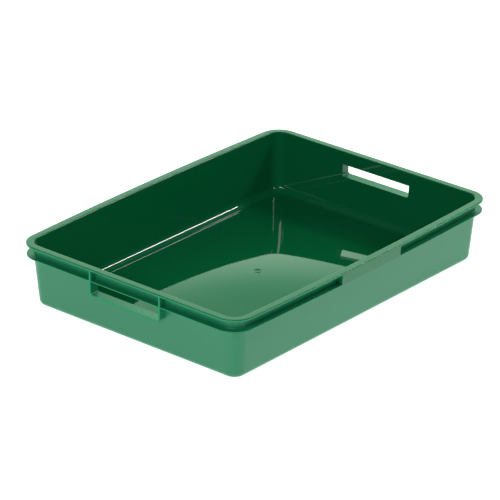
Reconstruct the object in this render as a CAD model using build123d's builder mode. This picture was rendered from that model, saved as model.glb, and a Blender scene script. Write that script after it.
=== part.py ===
from build123d import *
import math
import os

os.makedirs("parts", exist_ok=True)

# A shallow one-piece moulded tray. It stands on the XY plane with its long side along X,
# and the origin is under the middle of its floor. All sizes are in millimetres.

# Driving dimensions: the rim seen from above
length = 442.0
width = 313.0  # at the corners, where the long sides start to bow outward
height = 75.0
side_bow = 5.0  # how far the middle of each long side stands out past its ends
rim_corner_radius = 23.5

# Driving dimensions: walls and floor
wall = 2.2
rim_thickness = 2.4
rim_inner_rounding = 1.5
rim_outer_rounding = 0.9
wall_inset_at_rim = 7.1  # from the rim's edge in to the outer face of the wall
end_inset_at_floor = 13.8  # the same at the foot of a short wall
side_inset_at_floor = 11.7  # and at the foot of a long wall
outer_corner_at_floor = 14.0
outer_floor_rounding = 6.4
inner_floor_rounding = 8.5
floor_thickness = 2.6
crown = 9.0  # how far the middle of the floor is pushed up above its edges

# Driving dimensions: the lower flange, the hand grips and the closed stretch of each side
flange_top = 61.3
flange_thickness = 1.4
grip_width = 101.4
grip_bottom = 43.2
grip_rib = 2.3
grip_corner_radius = 5.0

# Driving dimensions: the underside and the gate mark
foot_band = 4.5  # width of the flat band that the tray stands on
foot_relief = 0.4
hollow_gain = 0.2  # how much more the hollow rises than the floor above it
gate_diameter = 10.0
gate_depth = 0.6

# Worked out from the dimensions above
half_length = length / 2
half_width = width / 2
rim_underside = height - rim_thickness
flange_underside = flange_top - flange_thickness
floor_half_length = half_length - end_inset_at_floor - wall
floor_half_width = half_width - side_inset_at_floor - wall
crown_margin = 1.0
dome_block_depth = 20.0
straight_bow = 0.05  # the wall's foot is bowed this little, so that it still matches the rim
grip_depth = end_inset_at_floor  # the ribs reach in to the wall
floor_middle = floor_thickness + crown
gate_sphere = ((gate_diameter / 2) ** 2 + gate_depth**2) / (2 * gate_depth)
foot_half_length = half_length - end_inset_at_floor - outer_floor_rounding - foot_band
foot_half_width = half_width - side_inset_at_floor - outer_floor_rounding - foot_band


def tray_outline(z, end_inset, side_inset, bow, corner_radius):
    """A rectangle with rounded corners and bowed long sides, at height z."""
    x = half_length - end_inset
    y = half_width - side_inset
    with BuildSketch(Plane.XY.offset(z)) as outline:
        with BuildLine():
            Line((x, -y), (x, y))
            ThreePointArc((x, y), (0, y + bow), (-x, y))
            Line((-x, y), (-x, -y))
            ThreePointArc((-x, -y), (0, -y - bow), (x, -y))
        make_face()
        fillet(outline.vertices(), corner_radius)
    return outline.sketch


def wall_outline(z, depth):
    """The wall's outline at height z, taken depth in from its outer face."""
    rise = z / height
    end_inset = end_inset_at_floor + (wall_inset_at_rim - end_inset_at_floor) * rise + depth
    side_inset = side_inset_at_floor + (wall_inset_at_rim - side_inset_at_floor) * rise + depth
    top_corner = rim_corner_radius - wall_inset_at_rim
    corner = outer_corner_at_floor + (top_corner - outer_corner_at_floor) * rise - depth
    bow = max(side_bow * rise, straight_bow)
    return tray_outline(z, end_inset, side_inset, bow, corner)


def grip_outline(plane, margin, top=rim_underside):
    """A hand grip's outline on an end plane, taken margin in from its outer edge."""
    y = grip_width / 2 - margin
    bottom = grip_bottom + margin
    with BuildSketch(plane) as outline:
        with BuildLine():
            Polyline((-y, top), (-y, bottom), (y, bottom), (y, top), close=True)
        make_face()
        fillet(outline.vertices().group_by(Axis.Y)[0], grip_corner_radius - margin)
    return outline.sketch


def dome_block(x, y, z, rise, depth):
    """A block depth thick under a dome that is level all round its edge, at height z.

    The dome is one Bezier patch. Its control points lie in a plane, except for the middle
    one, which gives rise * (1 - (x / X)^2)^3 * (1 - (y / Y)^2)^2 over the rectangle.
    """
    steps_x = range(-3, 4)
    steps_y = range(-2, 3)
    middle_share = math.comb(6, 3) / 2**6 * math.comb(4, 2) / 2**4
    net = []
    for i in steps_x:
        lifts = [rise / middle_share if i == j == 0 else 0 for j in steps_y]
        net.append([(x * i / 3, y * j / 2, z + lift) for j, lift in zip(steps_y, lifts)])
    return extrude(Face.make_bezier_surface(net), depth, dir=(0, 0, -1))


# The floor's upper surface and the hollow under it are shallow domes
floor_block = dome_block(
    floor_half_length + crown_margin,
    floor_half_width + crown_margin,
    floor_thickness,
    crown,
    dome_block_depth,
)
underside_block = dome_block(
    foot_half_length,
    foot_half_width,
    foot_relief,
    crown - foot_relief + hollow_gain,
    dome_block_depth,
)

# The space inside the tray: its drafted walls run up from the domed floor
with BuildPart() as inside:
    loft(sections=[wall_outline(0, wall), wall_outline(height, wall)], ruled=True)
    add(floor_block, mode=Mode.SUBTRACT)
    floor_face = inside.faces().sort_by(Axis.Z)[0]
    fillet(floor_face.edges(), inner_floor_rounding)

# The body that the walls and the floor are cut from, with a rounded edge to stand on
with BuildPart() as body:
    loft(sections=[wall_outline(0, 0), wall_outline(height, 0)], ruled=True)
    fillet(body.edges().group_by(Axis.Z)[0], outer_floor_rounding)

# The tray itself is one moulding
with BuildPart() as tray:
    # A U-shaped rib frames the hand grip in each short side
    for end_x in (-half_length, half_length):
        end_plane = Plane.YZ.offset(end_x)
        inward = -math.copysign(grip_depth, end_x)
        extrude(grip_outline(end_plane, 0), inward)
        extrude(grip_outline(end_plane, grip_rib), inward, mode=Mode.SUBTRACT)

    # The rim and the lower flange start as whole plates
    extrude(tray_outline(rim_underside, 0, 0, side_bow, rim_corner_radius), rim_thickness)
    extrude(tray_outline(flange_underside, 0, 0, side_bow, rim_corner_radius), flange_thickness)

    # In the middle of each long side a skirt closes the groove between the two, and the
    # pocket behind the skirt is open underneath
    with BuildSketch(Plane.XY.offset(flange_underside)):
        add(tray_outline(0, 0, 0, side_bow, rim_corner_radius))
        Rectangle(grip_width, 2 * width, mode=Mode.INTERSECT)
    extrude(amount=rim_underside - flange_underside)
    with BuildSketch(Plane.XY.offset(flange_underside)):
        add(tray_outline(0, wall, wall, side_bow, rim_corner_radius - wall))
        Rectangle(grip_width - 2 * grip_rib, 2 * width, mode=Mode.INTERSECT)
    extrude(amount=rim_underside - flange_underside, mode=Mode.SUBTRACT)

    # The walls and the floor, and the space inside
    add(body.part)
    add(inside.part, mode=Mode.SUBTRACT)

    # Finger openings, from the lower flange down to the bottom of each grip
    for end_x in (-half_length, half_length):
        through_wall = -math.copysign(2 * grip_depth, end_x)
        opening = grip_outline(Plane.YZ.offset(end_x), grip_rib, flange_underside)
        extrude(opening, through_wall, mode=Mode.SUBTRACT)

    # Underside: the hollow under the domed floor leaves a flat band all round
    add(underside_block, mode=Mode.SUBTRACT)

    # Gate mark: a shallow dish in the middle of the floor, with a pad under it
    with Locations((0, 0, floor_middle - gate_depth + gate_sphere)):
        Sphere(gate_sphere, mode=Mode.SUBTRACT)
    with Locations((0, 0, floor_middle - floor_thickness)):
        Cylinder(gate_diameter / 2, gate_depth)

    # Roundings on the rim
    rim_top = tray.faces().sort_by(Axis.Z)[-1]
    fillet(rim_top.inner_wires()[0].edges(), rim_inner_rounding)
    rim_top = tray.faces().sort_by(Axis.Z)[-1]
    fillet(rim_top.outer_wire().edges(), rim_outer_rounding)

tray.part.label = "tray"
export_step(tray.part, "parts/tray.step")
print("tray", tray.part.volume / 1000, "cm3", tray.part.bounding_box())
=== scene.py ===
"""A one-piece moulded tray in gloss green plastic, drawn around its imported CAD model."""

import logging
import math
from dataclasses import dataclass
from enum import Enum
from typing import Any

import bpy
from mathutils import Matrix, Vector


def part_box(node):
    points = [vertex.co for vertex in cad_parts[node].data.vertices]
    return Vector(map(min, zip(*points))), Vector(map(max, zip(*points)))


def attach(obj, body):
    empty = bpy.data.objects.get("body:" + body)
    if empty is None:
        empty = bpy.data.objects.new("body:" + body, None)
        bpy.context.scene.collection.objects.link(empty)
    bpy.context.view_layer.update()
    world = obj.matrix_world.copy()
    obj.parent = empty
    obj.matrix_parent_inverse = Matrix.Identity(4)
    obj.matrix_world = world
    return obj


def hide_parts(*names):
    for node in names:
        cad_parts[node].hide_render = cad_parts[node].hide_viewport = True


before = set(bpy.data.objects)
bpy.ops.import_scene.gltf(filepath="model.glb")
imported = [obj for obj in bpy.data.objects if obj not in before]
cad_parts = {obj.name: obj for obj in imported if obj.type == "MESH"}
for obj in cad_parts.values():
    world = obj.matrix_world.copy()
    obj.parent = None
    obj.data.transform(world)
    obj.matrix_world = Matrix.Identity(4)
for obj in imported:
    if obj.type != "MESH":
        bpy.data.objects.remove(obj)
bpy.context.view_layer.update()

LOG = logging.getLogger("tray")
MM = 0.001
Colour = tuple[float, float, float]


class Graph:
    """A node tree whose nodes all come from one method."""

    def __init__(self, tree: bpy.types.NodeTree) -> None:
        """Wraps a tree.

        Args:
            tree: the shader or geometry tree that nodes are added to.
        """
        self.tree = tree

    def node(
        self,
        kind: str,
        settings: dict[str, Any] | None = None,
        inputs: dict[int | str, Any] | None = None,
    ) -> bpy.types.Node:
        """Adds a node.

        Args:
            kind: the node's type.
            settings: its properties, set first; "stops" holds a colour ramp's places and colours.
            inputs: values or links for its sockets, by name or index.

        Returns:
            The new node.
        """
        made = self.tree.nodes.new(kind)
        for name, value in (settings or {}).items():
            if name == "stops":
                self._set_stops(made.color_ramp, value)
            else:
                setattr(made, name, value)
        for key, value in (inputs or {}).items():
            self.feed(made.inputs[key], value)
        return made

    def feed(self, target: bpy.types.NodeSocket, value: Any) -> None:
        """Links a socket or a Val to the target, or sets the target's own value.

        Args:
            target: the input that is fed.
            value: a socket, a Val, or a plain value.
        """
        source = value.socket if isinstance(value, Val) else value
        if isinstance(source, bpy.types.NodeSocket):
            self.tree.links.new(source, target)
        else:
            target.default_value = source

    def val(self, source: bpy.types.NodeSocket) -> "Val":
        """Wraps a socket for arithmetic."""
        return Val(self, source)

    def split(self, source: Any) -> list["Val"]:
        """X, Y and Z of a vector."""
        made = self.node("ShaderNodeSeparateXYZ", None, {0: source})
        return [self.val(output) for output in made.outputs]

    def join(self, x: Any, y: Any, z: Any) -> bpy.types.NodeSocket:
        """The vector with those parts."""
        return self.node("ShaderNodeCombineXYZ", None, {0: x, 1: y, 2: z}).outputs[0]

    @staticmethod
    def _set_stops(ramp: bpy.types.ColorRamp, stops: list[tuple[float, Colour]]) -> None:
        """Gives a colour ramp its stops.

        Args:
            ramp: a new ramp, which has two stops.
            stops: the place and the colour of each stop, in order.
        """
        while len(ramp.elements) < len(stops):
            ramp.elements.new(1.0)
        for element, (place, colour) in zip(ramp.elements, stops):
            element.position = place
            element.color = (*colour, 1.0)


class Val:
    """A number in a node tree: arithmetic on it adds the Math nodes."""

    def __init__(self, graph: Graph, socket: bpy.types.NodeSocket) -> None:
        """Wraps a socket.

        Args:
            graph: the graph that the Math nodes go into.
            socket: the output that carries the number.
        """
        self.graph = graph
        self.socket = socket

    def _math(self, operation: str, *terms: Any) -> "Val":
        """Adds one Math node on the given terms."""
        made = self.graph.node("ShaderNodeMath", {"operation": operation}, dict(enumerate(terms)))
        return Val(self.graph, made.outputs[0])

    def __add__(self, other: Any) -> "Val":
        """self + other."""
        return self._math("ADD", self, other)

    def __radd__(self, other: Any) -> "Val":
        """other + self."""
        return self._math("ADD", other, self)

    def __sub__(self, other: Any) -> "Val":
        """self - other."""
        return self._math("SUBTRACT", self, other)

    def __rsub__(self, other: Any) -> "Val":
        """other - self."""
        return self._math("SUBTRACT", other, self)

    def __mul__(self, other: Any) -> "Val":
        """self * other."""
        return self._math("MULTIPLY", self, other)

    def __rmul__(self, other: Any) -> "Val":
        """other * self."""
        return self._math("MULTIPLY", other, self)

    def __truediv__(self, other: Any) -> "Val":
        """self / other."""
        return self._math("DIVIDE", self, other)

    def __rtruediv__(self, other: Any) -> "Val":
        """other / self."""
        return self._math("DIVIDE", other, self)

    def __pow__(self, power: float) -> "Val":
        """self to a power."""
        return self._math("POWER", self, power)

    def __abs__(self) -> "Val":
        """The number without its sign."""
        return self._math("ABSOLUTE", self)

    def sign(self) -> "Val":
        """-1, 0 or 1."""
        return self._math("SIGN", self)

    def root(self) -> "Val":
        """The square root."""
        return self._math("SQRT", self)

    def least(self, other: Any) -> "Val":
        """The smaller of the two."""
        return self._math("MINIMUM", self, other)

    def most(self, other: Any) -> "Val":
        """The larger of the two."""
        return self._math("MAXIMUM", self, other)

    def clamp(self, low: float, high: float) -> "Val":
        """The number kept between low and high."""
        return self.most(low).least(high)

    def above(self, other: Any) -> "Val":
        """1 where the number is greater than the other, else 0."""
        return self._math("GREATER_THAN", self, other)

    def below(self, other: Any) -> "Val":
        """1 where the number is less than the other, else 0."""
        return self._math("LESS_THAN", self, other)


def in_scene(name: str, data: bpy.types.ID) -> bpy.types.Object:
    """Makes an object that holds the data and puts it in the scene.

    Args:
        name: the object's name.
        data: its mesh, lamp or camera.

    Returns:
        The object, at the origin.
    """
    made = bpy.data.objects.new(name, data)
    bpy.context.scene.collection.objects.link(made)
    return made


class Finish(Enum):
    """The moulding's finishes, by the number that its faces are marked with; the rim, thin-edge and
    satin ones are lighter copies of the one plastic, with painted glow and sheen.
    """

    POLISHED = 0
    RIM = 1
    EDGE = 2
    SATIN_PAINTED_SHEEN = 3
    UNDERSIDE = 4


@dataclass(frozen=True)
class GreenPlastic:
    """Gloss or satin green polypropylene.

    Attributes:
        name: the material's name.
        colour: the plastic's colour; for the rim, thin edges and satin outer walls it is lightened
            with painted glow and sheen.
        deep_colour: its colour where the pigment flowed a little thicker.
        roughness: how blurred its reflections are.
        roughness_spread: how much that varies over the surface.
        grain: height of the mould's fine grain, in metres.
        grain_scale: grains in a metre.
        ripple: height of the slow unevenness of a cooled moulding, in metres.
        shine: how strongly it mirrors what it faces; 0.5 is plain plastic.
        ior: the plastic's index of refraction.
        flow_scale: streaks of pigment in a metre.
        wear_scale: patches of wear in a metre.
        ripple_scale: ripples in a metre.
    """

    name: str
    colour: Colour
    deep_colour: Colour
    roughness: float
    roughness_spread: float = 0.08
    grain: float = 1e-6
    grain_scale: float = 2400.0
    ripple: float = 4e-6
    shine: float = 0.5
    ior: float = 1.49
    flow_scale: float = 9.0
    wear_scale: float = 38.0
    ripple_scale: float = 14.0

    def build(self) -> bpy.types.Material:
        """Makes the material.

        Returns:
            A procedural material that reads Object coordinates.
        """
        material = bpy.data.materials.new(self.name)
        material.use_nodes = True
        graph = Graph(material.node_tree)
        shader = material.node_tree.nodes["Principled BSDF"]
        place = graph.node("ShaderNodeTexCoord").outputs["Object"]
        flow = self._noise(graph, place, self.flow_scale, 3.0, 0.45)
        tint = graph.node(
            "ShaderNodeMix",
            {"data_type": "RGBA"},
            {
                0: flow.clamp(0.3, 0.7),
                6: (*self.colour, 1.0),
                7: (*self.deep_colour, 1.0),
            },
        )
        unevenness = self._noise(graph, place, self.wear_scale, 4.0, 0.6) - 0.5
        grain = self._noise(graph, place, self.grain_scale, 2.0)
        ripple = self._noise(graph, place, self.ripple_scale, 1.0)
        relief = grain * self.grain + ripple * self.ripple
        strengths = {"Strength": 1.0, "Distance": 1.0}
        bump = graph.node("ShaderNodeBump", None, {**strengths, "Height": relief})
        graph.feed(shader.inputs["Base Color"], tint.outputs[2])
        graph.feed(shader.inputs["Roughness"], unevenness * self.roughness_spread + self.roughness)
        graph.feed(shader.inputs["Normal"], bump.outputs["Normal"])
        shader.inputs["IOR"].default_value = self.ior
        shader.inputs["Specular IOR Level"].default_value = self.shine
        return material

    @staticmethod
    def _noise(
        graph: Graph, place: Any, scale: float, detail: float, roughness: float = 0.5
    ) -> Val:
        """Adds a noise pattern.

        Args:
            graph: the material's nodes.
            place: the coordinates that the pattern follows.
            scale: its features in a metre.
            detail: how many finer layers it has.
            roughness: how strong the finer layers are.

        Returns:
            The pattern, between 0 and 1.
        """
        made = graph.node(
            "ShaderNodeTexNoise",
            None,
            {"Vector": place, "Scale": scale, "Detail": detail, "Roughness": roughness},
        )
        return graph.val(made.outputs["Fac"])


FINISHES = {
    Finish.POLISHED: GreenPlastic(
        name="green_polished",
        colour=(0.003, 0.176, 0.062),
        deep_colour=(0.002, 0.162, 0.054),
        roughness=0.03,
        roughness_spread=0.015,
        grain=0.0,
        grain_scale=900.0,
        ripple=1e-6,
    ),
    # The rim's colour is a little lighter than the polished plastic: painted glow of light through
    # the thin rim.
    Finish.RIM: GreenPlastic(
        name="green_rim_painted_glow",
        colour=(0.004, 0.19, 0.07),
        deep_colour=(0.003, 0.17, 0.062),
        roughness=0.22,
    ),
    # The thin edge faces are coloured much lighter than the plastic: painted glow of light passing
    # through the thin plastic.
    Finish.EDGE: GreenPlastic(
        name="green_thin_edge_painted_glow",
        colour=(0.008, 0.34, 0.14),
        deep_colour=(0.006, 0.31, 0.125),
        roughness=0.25,
        shine=0.2,
    ),
    # The outer walls' colour is lighter and bluer than the polished plastic: painted light and
    # sheen on the outer walls.
    Finish.SATIN_PAINTED_SHEEN: GreenPlastic(
        name="green_satin_painted_sheen",
        colour=(0.01, 0.235, 0.11),
        deep_colour=(0.008, 0.22, 0.1),
        roughness=0.3,
        grain=1.5e-6,
        ripple=6e-6,
    ),
    Finish.UNDERSIDE: GreenPlastic(
        name="green_underside",
        colour=(0.015, 0.19, 0.08),
        deep_colour=(0.012, 0.17, 0.07),
        roughness=0.34,
        roughness_spread=0.1,
        grain=2e-6,
        grain_scale=2200.0,
        ripple=8e-6,
    ),
}


@dataclass(frozen=True)
class SectionPoint:
    """One point of the moulding's section, and how the stretch that ends in it is made.

    Attributes:
        inset: how far in from the rim's edge it is.
        height: its height above what the tray stands on.
        finish: the finish of the surface that ends here.
        skirt: 1 where the middle of a long side is filled out to the rim's edge.
        pocket: the point's share of the way round the pocket behind the skirt, or -1.
    """

    inset: float
    height: float
    finish: Finish
    skirt: float = 0.0
    pocket: float = -1.0


@dataclass
class Corner:
    """A corner of the section before it is rounded.

    Attributes:
        inset: how far in from the rim's edge it is.
        height: its height above what the tray stands on.
        radius: the radius that it is rounded to, or 0.
        finish: the finish of the surface that ends here.
        skirt: 1 where the middle of a long side is filled out to the rim's edge.
    """

    inset: float
    height: float
    radius: float
    finish: Finish
    skirt: float = 0.0

    @property
    def place(self) -> Vector:
        """The corner as a flat vector."""
        return Vector((self.inset, self.height))


@dataclass
class GeometryTree:
    """A geometry node group with named inputs.

    Attributes:
        name: the group's name.
        numbers: its number inputs and their values.
        vectors: the names of its vector inputs.
        geometry: whether geometry goes in and comes out.
    """

    name: str
    numbers: dict[str, float]
    vectors: tuple[str, ...] = ()
    geometry: bool = True

    def __post_init__(self) -> None:
        """Makes the group, its sockets and its input node."""
        tree = bpy.data.node_groups.new(self.name, "GeometryNodeTree")
        if self.geometry:
            tree.interface.new_socket("Geometry", in_out="INPUT", socket_type="NodeSocketGeometry")
        for vector in self.vectors:
            tree.interface.new_socket(vector, in_out="INPUT", socket_type="NodeSocketVector")
        for number, value in self.numbers.items():
            socket = tree.interface.new_socket(
                number, in_out="INPUT", socket_type="NodeSocketFloat"
            )
            socket.default_value = value
        kind = "NodeSocketGeometry" if self.geometry else "NodeSocketVector"
        result = "Geometry" if self.geometry else "Position"
        tree.interface.new_socket(result, in_out="OUTPUT", socket_type=kind)
        self.graph = Graph(tree)
        self.entry = self.graph.node("NodeGroupInput")
        self.exit = self.graph.node("NodeGroupOutput")

    def number(self, name: str) -> Val:
        """A number input, ready for arithmetic."""
        return self.graph.val(self.entry.outputs[name])

    def finish(self, result: Any) -> bpy.types.NodeTree:
        """Links the group's result and returns the group."""
        self.graph.feed(self.exit.inputs[0], result)
        return self.graph.tree


@dataclass
class MouldedTray:
    """The tray: floor, drafted walls, rim, lower flange, hand grips and side skirts in one piece.

    Its section, from the edge of the floor over the rim and back under to the hollow of the
    underside, is carried round the outline by a geometry tree. Sizes are in metres.

    Attributes:
        length: the rim's length.
        width: the rim's width at its corners.
        height: the height of the rim's top.
        side_bow: how far the middle of a long side stands out past its ends.
        rim_corner: radius of the rim's corners, seen from above.
        foot_corner_gain: how much rounder the foot's corners are than a plain inset gives.
        wall: thickness of the walls.
        rim_thickness: thickness of the rim.
        rim_inset: how far the rim reaches past the wall.
        side_draft: how far a long wall leans in on its way down.
        end_draft_gain: how much more a short wall leans in.
        inner_rounding: rounding between the inside and the rim's top.
        outer_rounding: rounding of the rim's upper edge.
        lower_rounding: rounding of the other edges of the rim and the flange.
        groove_rounding: rounding in the groove between the rim and the flange.
        flange_top: height of the lower flange's top.
        flange_thickness: thickness of the lower flange.
        flange_root: rounding between the lower flange and the wall under it.
        floor_thickness: thickness of the floor at its edge.
        floor_rounding: rounding between the floor and the walls inside.
        foot_rounding: rounding of the foot outside.
        foot_band: width of the flat band that the tray stands on.
        foot_relief: how far the underside stands back from that band.
        crown: how far the middle of the floor rises.
        crown_margin: how far the crown's edge lies past the floor's edge.
        gate_radius: radius of the gate mark in the middle of the floor.
        gate_depth: depth of the gate mark.
        grip_half_width: half the width of the grip's frame.
        grip_bottom: height of the frame's underside.
        grip_rib: thickness of the frame's ribs.
        grip_corner: radius of the frame's lower corners.
    """

    length: float
    width: float
    height: float
    side_bow: float = 5.0 * MM
    rim_corner: float = 23.5 * MM
    foot_corner_gain: float = 2.2 * MM
    wall: float = 2.2 * MM
    rim_thickness: float = 2.4 * MM
    rim_inset: float = 7.1 * MM
    side_draft: float = 4.6 * MM
    end_draft_gain: float = 2.1 * MM
    inner_rounding: float = 1.5 * MM
    outer_rounding: float = 0.9 * MM
    lower_rounding: float = 0.5 * MM
    groove_rounding: float = 0.8 * MM
    flange_top: float = 61.3 * MM
    flange_thickness: float = 1.4 * MM
    flange_root: float = 1.0 * MM
    floor_thickness: float = 2.6 * MM
    floor_rounding: float = 8.5 * MM
    foot_rounding: float = 6.4 * MM
    foot_band: float = 4.5 * MM
    foot_relief: float = 0.4 * MM
    crown: float = 9.0 * MM
    crown_margin: float = 1.0 * MM
    gate_radius: float = 5.0 * MM
    gate_depth: float = 0.6 * MM
    grip_half_width: float = 50.7 * MM
    grip_bottom: float = 43.2 * MM
    grip_rib: float = 2.3 * MM
    grip_corner: float = 5.0 * MM

    # How finely the mesh is divided: a gap between lanes where the outline steps, the length
    # held straight beside a rounding, the steps of a quarter turn, what counts as wide, and
    # the share of the way across from which a lane belongs to the edge.
    line_gap = 0.12 * MM
    hold = 0.5 * MM
    arc_steps = 6
    wide_arc_steps = 16
    wide_radius = 5.0 * MM
    corner_lanes = 8
    pocket_rows = 9
    on_edge = 0.9999
    # Small steps of the section: past the floor's rounding, the rise behind the foot band, the
    # least corner radius, and the gap between the last pocket row and the flange's root.
    floor_margin = 1.2 * MM
    band_step = 0.2 * MM
    least_radius = 0.3 * MM
    root_gap = 0.1 * MM
    root_share = 1.05
    # How much more the hollow under the floor rises than the floor does.
    hollow_gain = 0.2 * MM

    def __post_init__(self) -> None:
        """Works out what follows from the sizes."""
        self.core_length = self.length / 2 - self.rim_corner
        self.core_width = self.width / 2 - self.rim_corner
        self.rim_underside = self.height - self.rim_thickness
        self.flange_underside = self.flange_top - self.flange_thickness
        self.pocket_half_width = self.grip_half_width - self.grip_rib
        gate_zone = 1.3 * self.gate_radius
        gap = self.line_gap
        self.long_lanes = (
            (10, gate_zone),
            (8, self.pocket_half_width - gap),
            (1, self.pocket_half_width),
            (1, self.grip_half_width - gap / 2),
            (1, self.grip_half_width + gap / 2),
            (34, self.core_length),
        )
        self.short_lanes = ((10, gate_zone), (28, self.core_width))
        self.pocket_lane = 18.5
        self.skirt_lane = 20.5

    def wall_inset(self, height: float) -> float:
        """The outer face's inset on a long side, at a height."""
        return self.rim_inset + self.side_draft * (1 - height / self.height)

    def _on_wall(self, height: float, radius: float, skirt: float = 0.0) -> Corner:
        """A satin corner that lies on the outer face of the wall."""
        return Corner(self.wall_inset(height), height, radius, Finish.SATIN_PAINTED_SHEEN, skirt)

    def corners(self) -> list[Corner]:
        """The section's corners, before they are rounded.

        Returns:
            The corners from the edge of the floor, over the rim, to the hollow underneath.
        """
        low, top = self.floor_thickness, self.height
        foot_edge = self.wall_inset(0) + self.foot_rounding + self.foot_band
        inside_foot = self.wall_inset(low) + self.wall
        satin, edge, under = Finish.SATIN_PAINTED_SHEEN, Finish.EDGE, Finish.UNDERSIDE
        polished = Finish.POLISHED
        # The rim top takes the rim colour and the rim's and flange's outer edges the thin-edge
        # colour, both with painted glow; the outer walls take the satin colour, with painted sheen.
        return [
            Corner(inside_foot + self.floor_rounding + self.floor_margin, low, 0, polished),
            Corner(inside_foot, low, self.floor_rounding, polished),
            Corner(self.rim_inset + self.wall, top, self.inner_rounding, polished),
            Corner(0, top, self.outer_rounding, Finish.RIM),
            Corner(0, self.rim_underside, self.lower_rounding, edge, 1),
            self._on_wall(self.rim_underside, self.groove_rounding, 1),
            self._on_wall(self.flange_top, self.groove_rounding, 1),
            Corner(0, self.flange_top, self.lower_rounding, satin, 1),
            Corner(0, self.flange_underside, self.lower_rounding, edge),
            self._on_wall(self.flange_underside, self.flange_root),
            self._on_wall(0, self.foot_rounding),
            Corner(foot_edge, 0, self.band_step, under),
            Corner(foot_edge + self.band_step, self.foot_relief, 0, under),
        ]

    def section(self) -> list[SectionPoint]:
        """Rounds the section's corners, holds its straight stretches and adds the pocket's rows.

        Returns:
            The section's points in order.
        """
        corners = self.corners()
        points: list[SectionPoint] = []
        for index, corner in enumerate(corners):
            arc = [corner.place]
            if corner.radius:
                arc = self._arc(corners[index - 1].place, corner, corners[index + 1].place)
            at_root = corner.height == self.flange_underside and corner.inset > 0
            if points:
                points += self._stretch(points[-1], arc[0], corner, at_root)
            pocket = self.root_share if at_root else -1.0
            points += [SectionPoint(p.x, p.y, corner.finish, corner.skirt, pocket) for p in arc]
        return points

    def _arc(self, before: Vector, corner: Corner, after: Vector) -> list[Vector]:
        """The rounding of one corner, between the directions of its neighbours.

        Args:
            before: the corner before it.
            corner: the corner itself.
            after: the corner after it.

        Returns:
            The points of the arc, in order.
        """
        to_before = (before - corner.place).normalized()
        to_after = (after - corner.place).normalized()
        turn = math.pi - to_before.angle(to_after)
        cut = corner.radius * math.tan(turn / 2)
        middle = (to_before + to_after).normalized() * (corner.radius / math.cos(turn / 2))
        start = to_before * cut - middle
        end = to_after * cut - middle
        full_steps = self.wide_arc_steps if corner.radius > self.wide_radius else self.arc_steps
        steps = max(3, round(full_steps * turn / (math.pi / 2)))
        arc = []
        for step in range(steps + 1):
            share = step / steps
            spoke = start * math.sin((1 - share) * turn) + end * math.sin(share * turn)
            arc.append(corner.place + middle + spoke / math.sin(turn))
        return arc

    def _stretch(
        self, start: SectionPoint, end: Vector, corner: Corner, at_root: bool
    ) -> list[SectionPoint]:
        """Points along a straight stretch: two that hold its ends, and the pocket's rows.

        Args:
            start: the section's last point.
            end: where the next corner's rounding starts.
            corner: that corner.
            at_root: whether the stretch is the underside of the lower flange.

        Returns:
            The points between the two.
        """
        begin = Vector((start.inset, start.height))
        if at_root:
            shares = [row / self.pocket_rows for row in range(self.pocket_rows + 1)]
            reach = end.x - self.root_gap - self.wall
            return [
                SectionPoint(self.wall + reach * share, end.y, corner.finish, 0.0, share)
                for share in shares
            ]
        run = (end - begin).length
        if run < 3 * self.hold:
            return []
        skirt = min(start.skirt, corner.skirt)
        held = [begin.lerp(end, self.hold / run), begin.lerp(end, 1 - self.hold / run)]
        return [SectionPoint(p.x, p.y, corner.finish, skirt) for p in held]

    def _named(self, names: str) -> dict[str, float]:
        """The fields of those names, under the names that a tree's inputs have."""
        return {name.replace("_", " ").capitalize(): getattr(self, name) for name in names.split()}

    def sizes(self) -> dict[str, float]:
        """The sizes that the geometry trees take as named inputs.

        Returns:
            Each input's name and its value.
        """
        return self._named(
            "length width height side_bow rim_corner foot_corner_gain wall rim_inset side_draft "
            "end_draft_gain rim_underside flange_underside"
        )

    def floor_sizes(self) -> dict[str, float]:
        """The sizes of the floor's dome and of the hand grips, which only the main tree takes.

        Returns:
            Each input's name and its value.
        """
        inside_foot = self.wall_inset(0) + self.wall
        foot_edge = self.wall_inset(0) + self.foot_rounding + self.foot_band
        half_length = self.length / 2 - self.end_draft_gain
        return {
            "Dome half length": half_length - inside_foot + self.crown_margin,
            "Dome half width": self.width / 2 - inside_foot + self.crown_margin,
            "Hollow rise": self.crown - self.foot_relief + self.hollow_gain,
            "Hollow half length": half_length - foot_edge,
            "Hollow half width": self.width / 2 - foot_edge,
            **self._named(
                "crown gate_radius gate_depth grip_half_width grip_bottom grip_rib grip_corner"
            ),
        }

    @staticmethod
    def _travel(steps: Val, lanes: tuple[tuple[int, float], ...]) -> Val:
        """How far from the middle a lane lies, as a share of the straight part's half length.

        Args:
            steps: the lane's number, counted from the middle.
            lanes: how many lanes each zone has, and how far from the middle it reaches.

        Returns:
            The share, from 0 in the middle to 1 where the corner starts.
        """
        whole = lanes[-1][1]
        first, reached = 0, 0.0
        travel: Any = 0.0
        for count, reach in lanes:
            stride = (reach - reached) / count / whole
            travel = (steps - first).clamp(0, count) * stride + travel
            first += count
            reached = reach
        return travel

    def outline_rule(self) -> bpy.types.NodeTree:
        """A group that gives the place of a point of the section at a place round the tray.

        Returns:
            A group of fields: Plan is the point's lane along the length and across the width.
        """
        row = {"Inset": 0.0, "Row height": 0.0, "Skirt": 0.0, "Pocket": -1.0}
        tree = GeometryTree("outline_rule", {**self.sizes(), **row}, ("Plan",), geometry=False)
        graph, size = tree.graph, tree.number
        along, across, _ = graph.split(tree.entry.outputs["Plan"])
        straight_long = sum(count for count, _ in self.long_lanes)
        straight_short = sum(count for count, _ in self.short_lanes)
        lane_long = abs(along) * (straight_long + self.corner_lanes)
        lane_short = abs(across) * (straight_short + self.corner_lanes)
        corner_long = (lane_long - straight_long).clamp(0, self.corner_lanes) / self.corner_lanes
        corner_short = (lane_short - straight_short).clamp(0, self.corner_lanes) / self.corner_lanes

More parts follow.
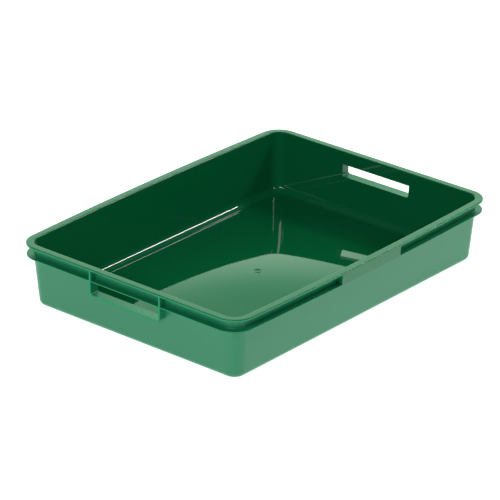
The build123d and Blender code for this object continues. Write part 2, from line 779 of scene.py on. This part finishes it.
        on_side = abs(across).above(self.on_edge)
        in_skirt = lane_long.below(self.skirt_lane) * on_side
        pocket = size("Pocket")
        in_pocket = lane_long.below(self.pocket_lane) * on_side * pocket.above(-0.5)
        thirds = pocket * 3
        climb = thirds.least(3 - thirds).clamp(0, 1)
        deep = (size("Rim underside") - size("Flange underside")) * climb
        height = size("Row height") + in_pocket * deep
        drop = 1 - height / size("Height")
        wall_inset = size("Rim inset") + size("Side draft") * drop
        pocket_inset = size("Wall") + (wall_inset - size("Wall")) * (thirds - 1).clamp(0, 1)
        open_inset = size("Inset") * (1 - size("Skirt") * in_skirt)
        inset = open_inset + (pocket_inset - open_inset) * in_pocket

        gain = size("Foot corner gain") * drop
        radius = (size("Rim corner") - inset + gain).most(self.least_radius)
        core_x = size("Length") / 2 - size("Rim corner") - gain - size("End draft gain") * drop
        core_y = size("Width") / 2 - size("Rim corner") - gain
        square = corner_long.most(corner_short)
        spread = (corner_long * corner_long + corner_short * corner_short).root().most(1e-6)
        reach = radius * square / spread
        straight_x = core_x * self._travel(lane_long, self.long_lanes)
        straight_y = core_y * self._travel(lane_short, self.short_lanes)
        x = along.sign() * (straight_x + reach * corner_long)
        y = across.sign() * (straight_y + reach * corner_short)
        mid = 1 - (x * 2 / size("Length")) ** 2
        bow = size("Side bow") * (height / size("Height")) * mid
        y = y + y * 2 / size("Width") * bow
        return tree.finish(graph.join(x, y, height))

    def build(self) -> bpy.types.Object:
        """Makes the tray as one plain mesh.

        Returns:
            The tray's object, at the origin and with all its finishes.
        """
        section = self.section()
        mesh = bpy.data.meshes.new("tray_moulding")
        mesh.from_pydata([(p.inset, 0.0, p.height) for p in section], [], [])
        for name in ("skirt", "pocket"):
            store = mesh.attributes.new(name, "FLOAT", "POINT")
            store.data.foreach_set("value", [getattr(p, name) for p in section])
        store = mesh.attributes.new("finish", "FLOAT", "POINT")
        store.data.foreach_set("value", [p.finish.value for p in section])
        piece = in_scene("tray_moulding", mesh)
        tree = TrayTree(self).build()
        modifier = piece.modifiers.new("moulding", "NODES")
        modifier.node_group = tree
        values = {**self.sizes(), **self.floor_sizes()}
        for socket in tree.interface.items_tree:
            if socket.in_out == "INPUT" and socket.name in values:
                modifier[socket.identifier] = values[socket.name]
        graph = bpy.context.evaluated_depsgraph_get()
        plain = bpy.data.meshes.new_from_object(piece.evaluated_get(graph))
        piece.modifiers.clear()
        piece.data = plain
        self._drop_empty_slots(plain)
        return piece

    @staticmethod
    def _drop_empty_slots(mesh: bpy.types.Mesh) -> None:
        """Takes away the material slots that hold nothing and keeps every face's material.

        Args:
            mesh: the finished mesh.
        """
        kept = [material for material in mesh.materials if material]
        places = [kept.index(material) if material else 0 for material in mesh.materials]
        indices = [places[polygon.material_index] for polygon in mesh.polygons]
        mesh.materials.clear()
        for material in kept:
            mesh.materials.append(material)
        mesh.polygons.foreach_set("material_index", indices)


class TrayTree:
    """The geometry tree that carries the section round the tray and closes it.

    Attributes:
        weld_distance: how close two points are to be merged.
        frame_setback: how far the grip's frame stands back from the rim's edge.
        overshoot: how far a cutting block reaches past what it cuts.
        end_margin: how near the end a face is to take the thin edge's lighter colour, a painted
            glow.
        sharp_angle: the turn, in degrees, from which an edge is shaded sharp.
    """

    weld_distance = 0.01 * MM
    frame_setback = 0.05 * MM
    overshoot = 5.0 * MM
    end_margin = 0.1 * MM
    sharp_angle = 32.0

    def __init__(self, tray: MouldedTray) -> None:
        """Starts the tree.

        Args:
            tray: the moulding whose sizes and rules it follows.
        """
        self.tray = tray
        self.tree = GeometryTree("moulded_tray", {**tray.sizes(), **tray.floor_sizes()})
        self.graph = self.tree.graph
        self.rule = tray.outline_rule()
        self.materials = {finish: plastic.build() for finish, plastic in FINISHES.items()}

    def build(self) -> bpy.types.NodeTree:
        """Builds the whole tree.

        Returns:
            The node group, which turns the section into the tray.
        """
        size = self.tree.number
        sheet = self._sheet()
        last = self.graph.val(self._count()) - 1
        top = self._floor(sheet, 0, size("Crown"), "Dome", Finish.POLISHED, dish=True)
        rise = size("Hollow rise")
        under = self._floor(sheet, last, rise, "Hollow", Finish.UNDERSIDE, dish=False)
        shell = self._weld([self._carry_round(top, last), self._flip(under)])
        shell = self._grips(shell)
        return self.tree.finish(self._dress(shell))

    def _count(self) -> bpy.types.NodeSocket:
        """How many points the section has."""
        section = {"Geometry": self.tree.entry.outputs["Geometry"]}
        size = self.graph.node("GeometryNodeAttributeDomainSize", None, section)
        return size.outputs["Point Count"]

    def _field(self, name: str, data_type: str) -> bpy.types.NodeSocket:
        """A named attribute."""
        made = self.graph.node(
            "GeometryNodeInputNamedAttribute", {"data_type": data_type}, {"Name": name}
        )
        return made.outputs["Attribute"]

    def _position(self) -> bpy.types.NodeSocket:
        """Where each point is."""
        return self.graph.node("GeometryNodeInputPosition").outputs[0]

    def _move(self, geometry: Any, place: Any, selection: Any = True) -> bpy.types.NodeSocket:
        """Puts the selected points where the field says."""
        inputs = {"Geometry": geometry, "Position": place, "Selection": selection}
        return self.graph.node("GeometryNodeSetPosition", None, inputs).outputs[0]

    def _flip(self, mesh: Any) -> bpy.types.NodeSocket:
        """Turns the faces round."""
        return self.graph.node("GeometryNodeFlipFaces", None, {"Mesh": mesh}).outputs[0]

    def _row(self, value: bpy.types.NodeSocket, data_type: str, index: Any) -> bpy.types.NodeSocket:
        """What the section holds at one of its points.

        Args:
            value: the field that is read.
            data_type: its type.
            index: which point.

        Returns:
            The value there.
        """
        made = self.graph.node(
            "GeometryNodeSampleIndex",
            {"data_type": data_type},
            {"Geometry": self.tree.entry.outputs["Geometry"], "Value": value, "Index": index},
        )
        return made.outputs[0]

    def _place(self, index: Any) -> bpy.types.NodeSocket:
        """Where one of the section's points lies, all round the tray.

        Args:
            index: which point.

        Returns:
            Its place as a field on the sheet of lanes.
        """
        inset, _, height = self.graph.split(self._row(self._position(), "FLOAT_VECTOR", index))
        inputs = {name: self.tree.entry.outputs[name] for name in self.tray.sizes()}
        inputs["Plan"] = self._field("plan", "FLOAT_VECTOR")
        inputs["Inset"] = inset
        inputs["Row height"] = height
        inputs["Skirt"] = self._row(self._field("skirt", "FLOAT"), "FLOAT", index)
        inputs["Pocket"] = self._row(self._field("pocket", "FLOAT"), "FLOAT", index)
        return self.graph.node("GeometryNodeGroup", {"node_tree": self.rule}, inputs).outputs[0]

    def _sheet(self) -> bpy.types.NodeSocket:
        """A flat sheet of lanes that keeps each point's plan.

        Returns:
            The sheet, two by two, with its plan as an attribute.
        """
        tray = self.tray
        long_lanes = sum(count for count, _ in tray.long_lanes) + tray.corner_lanes
        short_lanes = sum(count for count, _ in tray.short_lanes) + tray.corner_lanes
        sizes = {"Size X": 2.0, "Size Y": 2.0}
        counts = {"Vertices X": 2 * long_lanes + 1, "Vertices Y": 2 * short_lanes + 1}
        sheet = self.graph.node("GeometryNodeMeshGrid", None, {**sizes, **counts})
        return self._store(sheet.outputs["Mesh"], "plan", self._position(), "FLOAT_VECTOR", "POINT")

    def _store(
        self,
        geometry: Any,
        name: str,
        value: Any,
        data_type: str,
        domain: str,
        selection: Any = True,
    ) -> bpy.types.NodeSocket:
        """Stores a named attribute.

        Args:
            geometry: what it is stored on.
            name: the attribute's name.
            value: its value.
            data_type: its type.
            domain: whether points, edges or faces hold it.
            selection: which of them are given it.

        Returns:
            The geometry with the attribute.
        """
        made = self.graph.node(
            "GeometryNodeStoreNamedAttribute",
            {"data_type": data_type, "domain": domain},
            {"Geometry": geometry, "Selection": selection, "Name": name, "Value": value},
        )
        return made.outputs[0]

    def _mark(self, geometry: Any, finish: Finish, selection: Any = True) -> bpy.types.NodeSocket:
        """Notes on the selected faces which finish they take."""
        return self._store(geometry, "made_of", float(finish.value), "FLOAT", "FACE", selection)

    def _paint(self, geometry: Any) -> bpy.types.NodeSocket:
        """Gives every face the material of the finish noted on it.

        Args:
            geometry: the moulding, with its finishes noted.

        Returns:
            The moulding with its materials.
        """
        made_of = self.graph.val(self._field("made_of", "FLOAT"))
        for finish, material in self.materials.items():
            chosen = abs(made_of - finish.value).below(0.5)
            painted = self.graph.node(
                "GeometryNodeSetMaterial",
                None,
                {"Geometry": geometry, "Selection": chosen, "Material": material},
            )
            geometry = painted.outputs[0]
        return geometry

    def _floor(
        self, sheet: Any, index: Any, rise: Val, dome: str, finish: Finish, dish: bool
    ) -> bpy.types.NodeSocket:
        """One face of the floor: a dome that is level all round its edge.

        Args:
            sheet: the flat sheet of lanes.
            index: the section's point at the floor's edge.
            rise: how far the middle stands above that edge.
            dome: which sizes the dome has.
            finish: the face's finish.
            dish: whether the gate mark is a dish in this face, or a pad under it.

        Returns:
            The face, pointing up.
        """
        graph, size = self.graph, self.tree.number
        x, y, z = graph.split(self._place(index))
        along = (1 - (x / size(f"{dome} half length")) ** 2).most(0)
        across = (1 - (y / size(f"{dome} half width")) ** 2).most(0)
        radius = (x * x + y * y).root()
        share = radius / size("Gate radius")
        mark = (1 - share * share).clamp(0, 1) if dish else ((1.06 - share) * 16).clamp(0, 1)
        lifted = z + rise * along**3 * across**2 - size("Gate depth") * mark
        return self._mark(self._move(sheet, graph.join(x, y, lifted)), finish)

    def _carry_round(self, floor: Any, last: Val) -> bpy.types.NodeSocket:
        """Draws the floor's edge out, row by row, along the section.

        Args:
            floor: the floor's upper face.
            last: the index of the section's last point.

        Returns:
            The floor, walls, rim, flange and foot, open underneath.
        """
        graph = self.graph
        neighbours = graph.node("GeometryNodeInputMeshEdgeNeighbors").outputs[0]
        edged = self._store(floor, "open_edge", graph.val(neighbours).below(1.5), "BOOLEAN", "EDGE")
        begin = graph.node("GeometryNodeRepeatInput")
        end = graph.node("GeometryNodeRepeatOutput")
        begin.pair_with_output(end)
        graph.feed(begin.inputs["Iterations"], last)
        graph.feed(begin.inputs["Geometry"], edged)
        drawn = graph.node(
            "GeometryNodeExtrudeMesh",
            {"mode": "EDGES"},
            {
                "Mesh": begin.outputs["Geometry"],
                "Selection": self._field("open_edge", "BOOLEAN"),
                "Offset Scale": 0.0,
            },
        )
        row = graph.val(begin.outputs["Iteration"]) + 1
        ring = self._move(drawn.outputs["Mesh"], self._place(row), drawn.outputs["Top"])
        made_of = graph.val(self._row(self._field("finish", "FLOAT"), "FLOAT", row))
        side = graph.val(drawn.outputs["Side"])
        for finish in Finish:
            ring = self._mark(ring, finish, side * abs(made_of - finish.value).below(0.5))
        ring = self._store(ring, "open_edge", drawn.outputs["Top"], "BOOLEAN", "EDGE")
        graph.feed(end.inputs["Geometry"], ring)
        return end.outputs["Geometry"]

    def _weld(self, parts: list[Any]) -> bpy.types.NodeSocket:
        """Joins meshes and merges the points that they share.

        Args:
            parts: the meshes.

        Returns:
            One mesh.
        """
        join = self.graph.node("GeometryNodeJoinGeometry")
        for part in parts:
            self.graph.feed(join.inputs[0], part)
        merged = self.graph.node(
            "GeometryNodeMergeByDistance",
            None,
            {"Geometry": join.outputs[0], "Distance": self.weld_distance},
        )
        return merged.outputs[0]

    def _block(
        self, half_width: Any, bottom: Any, top: Any, corner: Any, outer: float, inner: float | None
    ) -> bpy.types.NodeSocket:
        """A block across the wall of one short side, with its two lower corners rounded.

        Args:
            half_width: half its width.
            bottom: the height of its underside.
            top: the height of its top.
            corner: radius of the lower corners.
            outer: where its outer face lies, along X.
            inner: where its inner face lies, or None for the middle of the wall.

        Returns:
            A closed block at the end where X is negative.
        """
        graph, size = self.graph, self.tree.number
        left, right = 0 - half_width, half_width
        spots = [(left, bottom), (right, bottom), (right, top), (left, top)]
        quad = graph.node("GeometryNodeCurvePrimitiveQuadrilateral", {"mode": "POINTS"})
        for index, (across, height) in enumerate(spots, 1):
            graph.feed(quad.inputs[f"Point {index}"], graph.join(across, height, 0.0))
        x, y, z = graph.split(self._position())
        lower = y.below((bottom + top) / 2)
        rounded = graph.node(
            "GeometryNodeFilletCurve",
            {"mode": "POLY"},
            {"Curve": quad.outputs[0], "Count": 6, "Radius": lower * corner},
        )
        filled = graph.node("GeometryNodeFillCurve", {"mode": "NGONS"}, {0: rounded.outputs[0]})
        base = self._move(filled.outputs[0], graph.join(outer, x, y))
        drawn = graph.node(
            "GeometryNodeExtrudeMesh",
            {"mode": "FACES"},
            {"Mesh": base, "Offset": (1.0, 0.0, 0.0), "Offset Scale": MM},
        )
        draft = (size("Side draft") + size("End draft gain")) * (1 - z / size("Height"))
        middle = size("Rim inset") + size("Wall") / 2 + draft
        face = middle - size("Length") / 2 if inner is None else inner
        slanted = self._move(drawn.outputs[0], graph.join(face, y, z), drawn.outputs["Top"])
        return self._weld([slanted, self._flip(base)])

    def _at_both_ends(self, block: Any) -> list[bpy.types.NodeSocket]:
        """The block and its mirror image at the other end.

        Args:
            block: a closed block at the end where X is negative.

        Returns:
            Both blocks.
        """
        mirrored = self.graph.node(
            "GeometryNodeTransform", None, {"Geometry": block, "Scale": (-1.0, 1.0, 1.0)}
        )
        return [block, self._flip(mirrored.outputs[0])]

    def _cut(self, operation: str, body: Any, tools: list[Any]) -> bpy.types.NodeSocket:
        """Joins tools to a body or takes them away from it.

        Args:
            operation: "UNION" or "DIFFERENCE".
            body: a closed mesh.
            tools: closed meshes.

        Returns:
            The closed mesh that results.
        """
        settings = {"operation": operation, "solver": "MANIFOLD"}
        made = self.graph.node("GeometryNodeMeshBoolean", settings)
        if operation == "DIFFERENCE":
            self.graph.feed(made.inputs[0], body)
        else:
            tools = [body, *tools]
        for tool in tools:
            self.graph.feed(made.inputs[1], tool)
        return made.outputs[0]

    def _grips(self, shell: Any) -> bpy.types.NodeSocket:
        """Adds the ribbed frame to each short side and opens it for the fingers.

        Args:
            shell: the closed moulding without its hand grips.

        Returns:
            The moulding with them.
        """
        size, tray = self.tree.number, self.tray
        half, rib = size("Grip half width"), size("Grip rib")
        bottom, corner = size("Grip bottom"), size("Grip corner")
        end = -tray.length / 2
        past, inside = end - self.overshoot, end + tray.rim_corner
        top = tray.height - tray.rim_thickness / 2
        solid = self._block(half, bottom, top, corner, end + self.frame_setback, None)
        hole = (half - rib, bottom + rib)
        hollow = self._block(*hole, tray.height, corner - rib, past, inside)
        frame_block = self._mark(self._cut("DIFFERENCE", solid, [hollow]), Finish.SATIN_PAINTED_SHEEN)
        deeper = inside + tray.rim_corner
        opening = self._block(*hole, tray.flange_underside, corner - rib, past, deeper)
        opening = self._mark(opening, Finish.SATIN_PAINTED_SHEEN)
        framed = self._cut("UNION", shell, self._at_both_ends(frame_block))
        return self._cut("DIFFERENCE", framed, self._at_both_ends(opening))

    def _dress(self, shell: Any) -> bpy.types.NodeSocket:
        """Marks the sharp edges and gives the ribs' ends and the skirts their lighter finishes,
        with painted glow.

        Args:
            shell: the whole moulding.

        Returns:
            The finished tray.
        """
        graph, tray = self.graph, self.tray
        smooth = graph.node("GeometryNodeSetShadeSmooth", {"domain": "FACE"}, {0: shell, 2: True})
        angle = graph.val(graph.node("GeometryNodeInputMeshEdgeAngle").outputs[0])
        sharp = graph.node(
            "GeometryNodeSetShadeSmooth",
            {"domain": "EDGE"},
            {0: smooth.outputs[0], 1: angle.above(math.radians(self.sharp_angle)), 2: False},
        )
        real = graph.node("GeometryNodeRealizeInstances", None, {0: sharp.outputs[0]}).outputs[0]
        x, y, z = graph.split(self._position())
        # End faces and skirts are coloured lighter: painted glow of light through thin plastic.
        painted_glow_ends = abs(x).above(tray.length / 2 - self.end_margin)
        bowed_out = abs(y).above((tray.width + tray.side_bow) / 2)
        painted_glow_skirts = abs(x).below(tray.grip_half_width) * bowed_out * z.above(tray.flange_underside)
        low_enough = z.below(tray.height - tray.outer_rounding)
        edged = self._mark(real, Finish.EDGE, painted_glow_ends * low_enough)
        return self._paint(self._mark(edged, Finish.RIM, painted_glow_skirts * low_enough))


@dataclass(frozen=True)
class Softbox:
    """A soft lamp.

    Attributes:
        name: the lamp's name.
        toward: the direction from the tray to the lamp.
        along: the direction of its longer side.
        size: its shorter and longer side, in metres.
        radiance: how bright its face is.
        distance: how far off it is, in metres.
    """

    name: str
    toward: tuple[float, float, float]
    along: tuple[float, float, float]
    size: tuple[float, float]
    radiance: float
    distance: float = 2.2

    def build(self, target: Vector) -> bpy.types.Object:
        """Makes the lamp and points it at the target.

        Args:
            target: the point that it is aimed at.

        Returns:
            The lamp's object.
        """
        light = bpy.data.lights.new(self.name, "AREA")
        light.shape = "RECTANGLE"
        light.size, light.size_y = self.size
        light.energy = self.radiance * math.pi * self.size[0] * self.size[1]
        lamp = in_scene(self.name, light)
        back = Vector(self.toward).normalized()
        side = Vector(self.along).cross(back).normalized()
        turn = Matrix((side, back.cross(side), back)).transposed().to_4x4()
        lamp.matrix_world = Matrix.Translation(target + back * self.distance) @ turn
        return lamp


@dataclass
class Studio:
    """The pale table, the lamps round it, and the camera.

    Attributes:
        heading: the camera's heading, in degrees from +X towards +Y.
        pitch: how far it looks down, in degrees.
        roll: how far it is turned about its own axis, in degrees.
        distance: how far it is from the aim, in metres.
        aim: the point that it looks at.
        lens: its focal length, in millimetres on a 36 mm sensor.
    """

    heading: float
    pitch: float
    roll: float
    distance: float
    aim: tuple[float, float, float]
    lens: float

    def build_table(self) -> None:
        """Makes the table: pale, and bright enough to lose the tray's shadow."""
        mesh = bpy.data.meshes.new("table")
        reach, drop = 9.0, -0.1 * MM
        signs = [(-1, -1), (1, -1), (1, 1), (-1, 1)]
        spots = [(x * reach, y * reach, drop) for x, y in signs]
        mesh.from_pydata(spots, [], [(0, 1, 2, 3)])
        table = in_scene("table", mesh)
        material = bpy.data.materials.new("table_paper")
        material.use_nodes = True
        shader = material.node_tree.nodes["Principled BSDF"]
        shader.inputs["Base Color"].default_value = (0.85, 0.85, 0.85, 1.0)
        shader.inputs["Roughness"].default_value = 0.35
        shader.inputs["Emission Color"].default_value = (1.0, 1.0, 1.0, 1.0)
        shader.inputs["Emission Strength"].default_value = 0.87
        mesh.materials.append(material)

    def build_surroundings(self) -> None:
        """Makes the room: bright behind the tray, dim behind the camera."""
        world = bpy.data.worlds.new("studio")
        bpy.context.scene.world = world
        world.use_nodes = True
        graph = Graph(world.node_tree)
        place = graph.node("ShaderNodeTexCoord").outputs["Generated"]
        heading = math.radians(self.heading)
        ahead = (math.cos(heading), math.sin(heading), 0.0)
        dot = {"operation": "DOT_PRODUCT"}
        facing = graph.node("ShaderNodeVectorMath", dot, {0: place, 1: ahead})
        _, _, upward = graph.split(place)
        backdrop = graph.node("ShaderNodeValToRGB", {"stops": BACKDROP}, {0: upward})
        edge, steepness = 0.3, 3.0
        share = ((graph.val(facing.outputs["Value"]) - edge) * steepness).clamp(0, 1)
        room = graph.node(
            "ShaderNodeMix",
            {"data_type": "RGBA"},
            {0: share, 6: (*ROOM, 1.0), 7: backdrop.outputs[0]},
        )
        background = world.node_tree.nodes["Background"]
        graph.feed(background.inputs["Color"], room.outputs[2])
        background.inputs["Strength"].default_value = 1.0

    def build_lamps(self) -> None:
        """Makes the lamps."""
        middle = Vector((0.0, 0.0, 0.03))
        upright = (0.0, 0.0, 1.0)
        sideways = (0.733, 0.366, -0.573)
        lamps = [
            Softbox("key_lamp", (0.699, -0.345, 0.627), sideways, (0.13, 0.38), 56.0, 2.25),
            Softbox("left_lamp", (-0.85, -0.15, 0.5), upright, (1.0, 0.34), 13.0),
            Softbox("right_lamp", (0.09, -0.83, 0.55), upright, (0.3, 0.35), 12.0),
        ]
        for lamp in lamps:
            lamp.build(middle)

    def build_camera(self) -> None:
        """Makes the camera and has the scene use it."""
        camera = bpy.data.cameras.new("camera")
        camera.lens = self.lens
        camera.sensor_width = 36.0
        camera.clip_end = 60.0
        holder = in_scene("camera", camera)
        heading, pitch = math.radians(self.heading), math.radians(self.pitch)
        level = math.cos(pitch)
        ahead = Vector((math.cos(heading) * level, math.sin(heading) * level, -math.sin(pitch)))
        turn = ahead.to_track_quat("-Z", "Y").to_matrix().to_4x4()
        roll = Matrix.Rotation(math.radians(self.roll), 4, "Z")
        stand = Matrix.Translation(Vector(self.aim) - ahead * self.distance)
        holder.matrix_world = stand @ turn @ roll
        bpy.context.scene.camera = holder

    def build(self) -> None:
        """Makes the whole studio."""
        self.build_camera()
        self.build_table()
        self.build_surroundings()
        self.build_lamps()
        view = bpy.context.scene.view_settings
        view.view_transform = "Standard"
        view.look = "None"


ROOM = (0.05, 0.05, 0.05)
BACKDROP = [
    (0.0, (1.3, 1.95, 1.45)),
    (0.34, (1.2, 1.9, 1.38)),
    (0.42, (1.0, 1.85, 1.28)),
    (0.51, (0.65, 1.55, 1.0)),
    (0.58, (0.55, 1.35, 0.85)),
    (0.72, (0.2, 0.4, 0.3)),
    (0.85, (0.05, 0.05, 0.05)),
]
STUDIO = Studio(
    heading=39.99,
    pitch=24.429,
    roll=0.531,
    distance=3.761,
    aim=(-0.00554, 0.0066, 0.03694),
    lens=243.94,
)


def main() -> None:
    """Builds the studio and the tray around the frame."""
    logging.basicConfig(level=logging.INFO, format="%(name)s: %(message)s")
    low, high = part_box("tray")
    bow = MouldedTray.side_bow
    tray = MouldedTray(
        length=round(high[0] - low[0], 3),
        width=round(high[1] - low[1], 3) - 2 * bow,
        height=round(high[2] - low[2], 3),
    )
    STUDIO.build()
    piece = tray.build()
    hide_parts("tray")
    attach(piece, "root")
    moulded = piece.data
    LOG.info("tray_moulding: %d vertices, %d faces", len(moulded.vertices), len(moulded.polygons))


if __name__ == "__main__":
    main()
